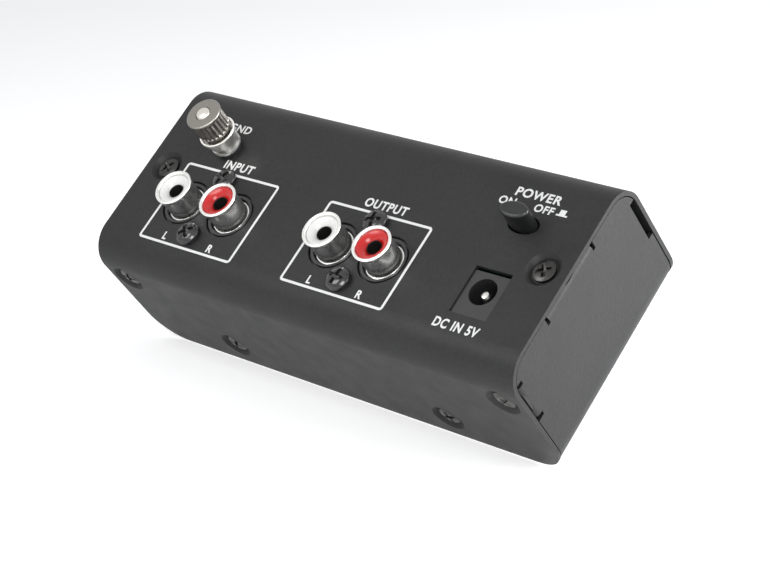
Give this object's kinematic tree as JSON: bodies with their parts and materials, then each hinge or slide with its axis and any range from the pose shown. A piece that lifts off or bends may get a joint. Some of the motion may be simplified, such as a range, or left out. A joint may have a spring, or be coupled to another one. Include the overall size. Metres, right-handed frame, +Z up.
{
  "type": "phono preamp",
  "caption": "Small folded-sheet phono preamp box with phono sockets in pairs, a ground terminal, an oval power button and a barrel power inlet on its rear panel.",
  "frame": {"origin": "centre of the case's flat bottom face", "axes": "+Z up; +Y out of the connector panel at the rear; the plain front faces -Y; +X is towards the input pair and the ground terminal, along the case's length"},
  "size_m": [0.12, 0.0504, 0.05],
  "materials": {
    "case_coat": "fine-textured powder coat, satin",
    "screw_nickel": "dark nickel plate",
    "screw_black": "black oxide, glossy",
    "shell_chrome": "polished nickel",
    "insulator_white": "glossy",
    "insulator_red": "glossy",
    "contact_tin": "tinned",
    "moulding_black": "moulded, semi-gloss",
    "button_black": "moulded, smooth",
    "spring_steel": "drawn wire",
    "terminal_nickel": "bright nickel plate, turned",
    "lug_brass": "tinned brass",
    "wire_green": "insulated lead",
    "board_green": "solder mask",
    "led_lens": "diffused lens",
    "chip_black": "moulded epoxy",
    "can_sleeve": "printed sleeve, no print kept",
    "film_red": "dipped",
    "resistor_blue": "lacquered",
    "ferrite_grey": "sintered"
  },
  "bodies": {
    "case": {"wrap_cover": "case_coat", "front_chassis": "case_coat", "rear_cover_screws": "screw_nickel", "bottom_cover_screws": "screw_nickel", "jack_screws": "screw_black", "input_left_shell": "shell_chrome", "input_right_shell": "shell_chrome", "output_left_shell": "shell_chrome", "output_right_shell": "shell_chrome", "input_left_insulator": "insulator_white", "output_left_insulator": "insulator_white", "input_right_insulator": "insulator_red", "output_right_insulator": "insulator_red", "input_left_contact": "contact_tin", "input_right_contact": "contact_tin", "output_left_contact": "contact_tin", "output_right_contact": "contact_tin", "dc_centre_pin": "contact_tin", "dc_spring_contact": "contact_tin", "switch_pins": "contact_tin", "led_leads": "contact_tin", "amplifier_chip_1_legs": "contact_tin", "amplifier_chip_2_legs": "contact_tin", "input_jack_block": "moulding_black", "output_jack_block": "moulding_black", "dc_jack_housing": "moulding_black", "switch_housing": "moulding_black", "ground_insulating_washer": "moulding_black", "led_spacer": "moulding_black", "switch_return_spring": "spring_steel", "ground_stud": "terminal_nickel", "ground_collar": "terminal_nickel", "ground_lock_nut": "terminal_nickel", "ground_solder_lug": "lug_brass", "ground_wire": "wire_green", "circuit_board": "board_green", "power_led": "led_lens", "amplifier_chip_1": "chip_black", "amplifier_chip_2": "chip_black", "regulator": "chip_black", "can_capacitor_1": "can_sleeve", "can_capacitor_2": "can_sleeve", "can_capacitor_3": "can_sleeve", "can_capacitor_4": "can_sleeve", "film_capacitor_1": "film_red", "film_capacitor_2": "film_red", "resistor_1": "resistor_blue", "resistor_2": "resistor_blue", "resistor_3": "resistor_blue", "resistor_4": "resistor_blue", "inductor": "ferrite_grey"},
    "button": {"power_button_cap": "button_black", "switch_plunger": "button_black"},
    "clamp_washer": {"ground_clamp_washer": "terminal_nickel"},
    "thumb_nut": {"ground_thumb_nut": "terminal_nickel"}
  },
  "joints": [
    {"name": "power_button_slide", "type": "slide", "parent": "case", "child": "button", "axis": [0, -1, 0], "range_m": [0, 0.0024], "stiffness_N_per_m": 450, "springref_m": -0.001, "deforming": ["switch_return_spring"]},
    {"name": "clamp_washer_slide", "type": "slide", "parent": "case", "child": "clamp_washer", "axis": [0, 1, 0], "range_m": [0, 0.00199]},
    {"name": "thumb_nut_turn", "type": "hinge", "parent": "clamp_washer", "child": "thumb_nut", "pos_m": [0.0399, 0.03, 0.0338], "axis": [0, 1, 0], "range_deg": [0, 1026]}
  ],
  "couplings": [
    {"joint": "thumb_nut_turn", "follows": "clamp_washer_slide", "rad_per_m": 8976}
  ]
}
